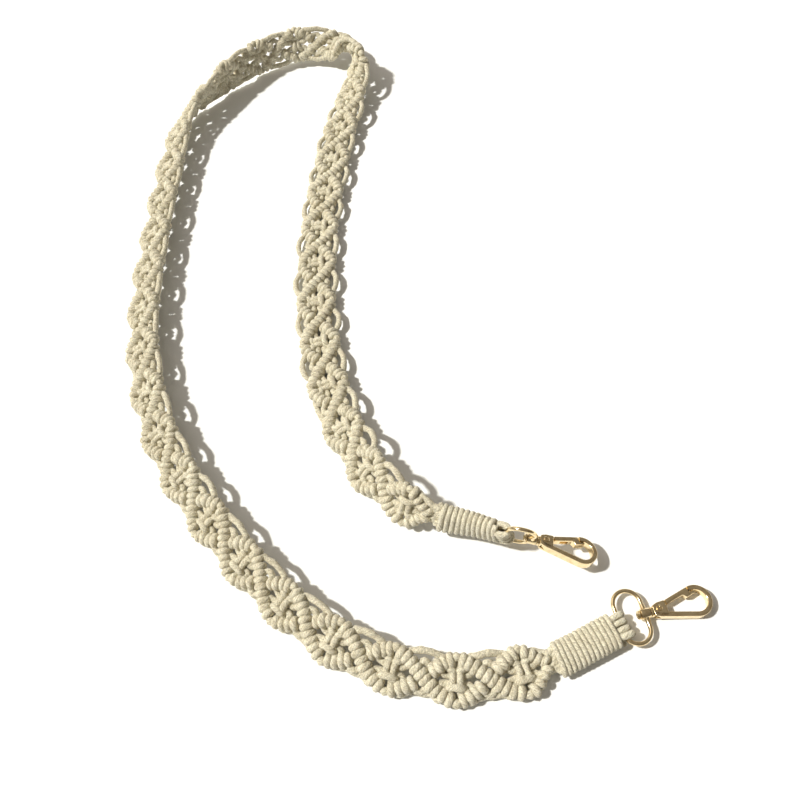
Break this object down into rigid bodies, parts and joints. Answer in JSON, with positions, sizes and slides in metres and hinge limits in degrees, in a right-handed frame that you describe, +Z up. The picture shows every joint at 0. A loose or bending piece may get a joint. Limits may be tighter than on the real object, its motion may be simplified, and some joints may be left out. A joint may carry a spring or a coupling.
{
  "type": "phone crossbody strap",
  "caption": "Knotted cotton crossbody strap with a diamond pattern and looped edges, wrapped ends, oval rings and swivel snap hooks, lying in an open curve.",
  "frame": {"origin": "on the floor, under the middle of the bounding box of the lying strap", "axes": "+Z up from the floor; +Y along the lying loop, away from the hooks' end; +X to the side that the hooks point to"},
  "size_m": [0.2868, 0.483, 0.0294],
  "materials": {
    "macrame_band": "soft natural cotton cord, matt",
    "anchor_cords_a": "soft natural cotton cord, matt",
    "anchor_cords_b": "soft natural cotton cord, matt",
    "wrap_a": "soft natural cotton cord, matt",
    "wrap_b": "soft natural cotton cord, matt",
    "ring_a": "polished pale gold plating",
    "ring_b": "polished pale gold plating",
    "hook_a": "polished pale gold plating",
    "hook_b": "polished pale gold plating",
    "gate_a": "polished pale gold plating",
    "gate_b": "polished pale gold plating",
    "rivet_a": "polished pale gold plating",
    "rivet_b": "polished pale gold plating"
  },
  "bodies": {
    "strap": {"macrame_band": "macrame_band", "anchor_cords_a": "anchor_cords_a", "anchor_cords_b": "anchor_cords_b", "wrap_a": "wrap_a", "wrap_b": "wrap_b", "ring_a": "ring_a", "ring_b": "ring_b"},
    "hook_a": {"hook_a": "hook_a", "rivet_a": "rivet_a"},
    "hook_b": {"hook_b": "hook_b", "rivet_b": "rivet_b"},
    "gate_a": {"gate_a": "gate_a"},
    "gate_b": {"gate_b": "gate_b"}
  },
  "joints": [
    {"name": "swivel_a", "type": "hinge", "parent": "strap", "child": "hook_a", "pos_m": [0.06635, -0.16915, 0.01427], "axis": [0.9166, -0.3246, -0.2334], "continuous": true},
    {"name": "swivel_b", "type": "hinge", "parent": "strap", "child": "hook_b", "pos_m": [0.11147, -0.20881, 0.00414], "axis": [0.9936, 0.1044, -0.0436], "continuous": true},
    {"name": "gate_a", "type": "hinge", "parent": "hook_a", "child": "gate_a", "pos_m": [0.07259, -0.1709, 0.0126], "axis": [-0.2989, -0.1687, -0.9392], "range_deg": [0, 24], "stiffness_Nm_per_rad": 0.01, "springref_deg": -45.84},
    {"name": "gate_b", "type": "hinge", "parent": "hook_b", "child": "gate_b", "pos_m": [0.11806, -0.20767, 0.00385], "axis": [-0.0434, -0.0046, -0.999], "range_deg": [0, 24], "stiffness_Nm_per_rad": 0.01, "springref_deg": -45.84}
  ]
}
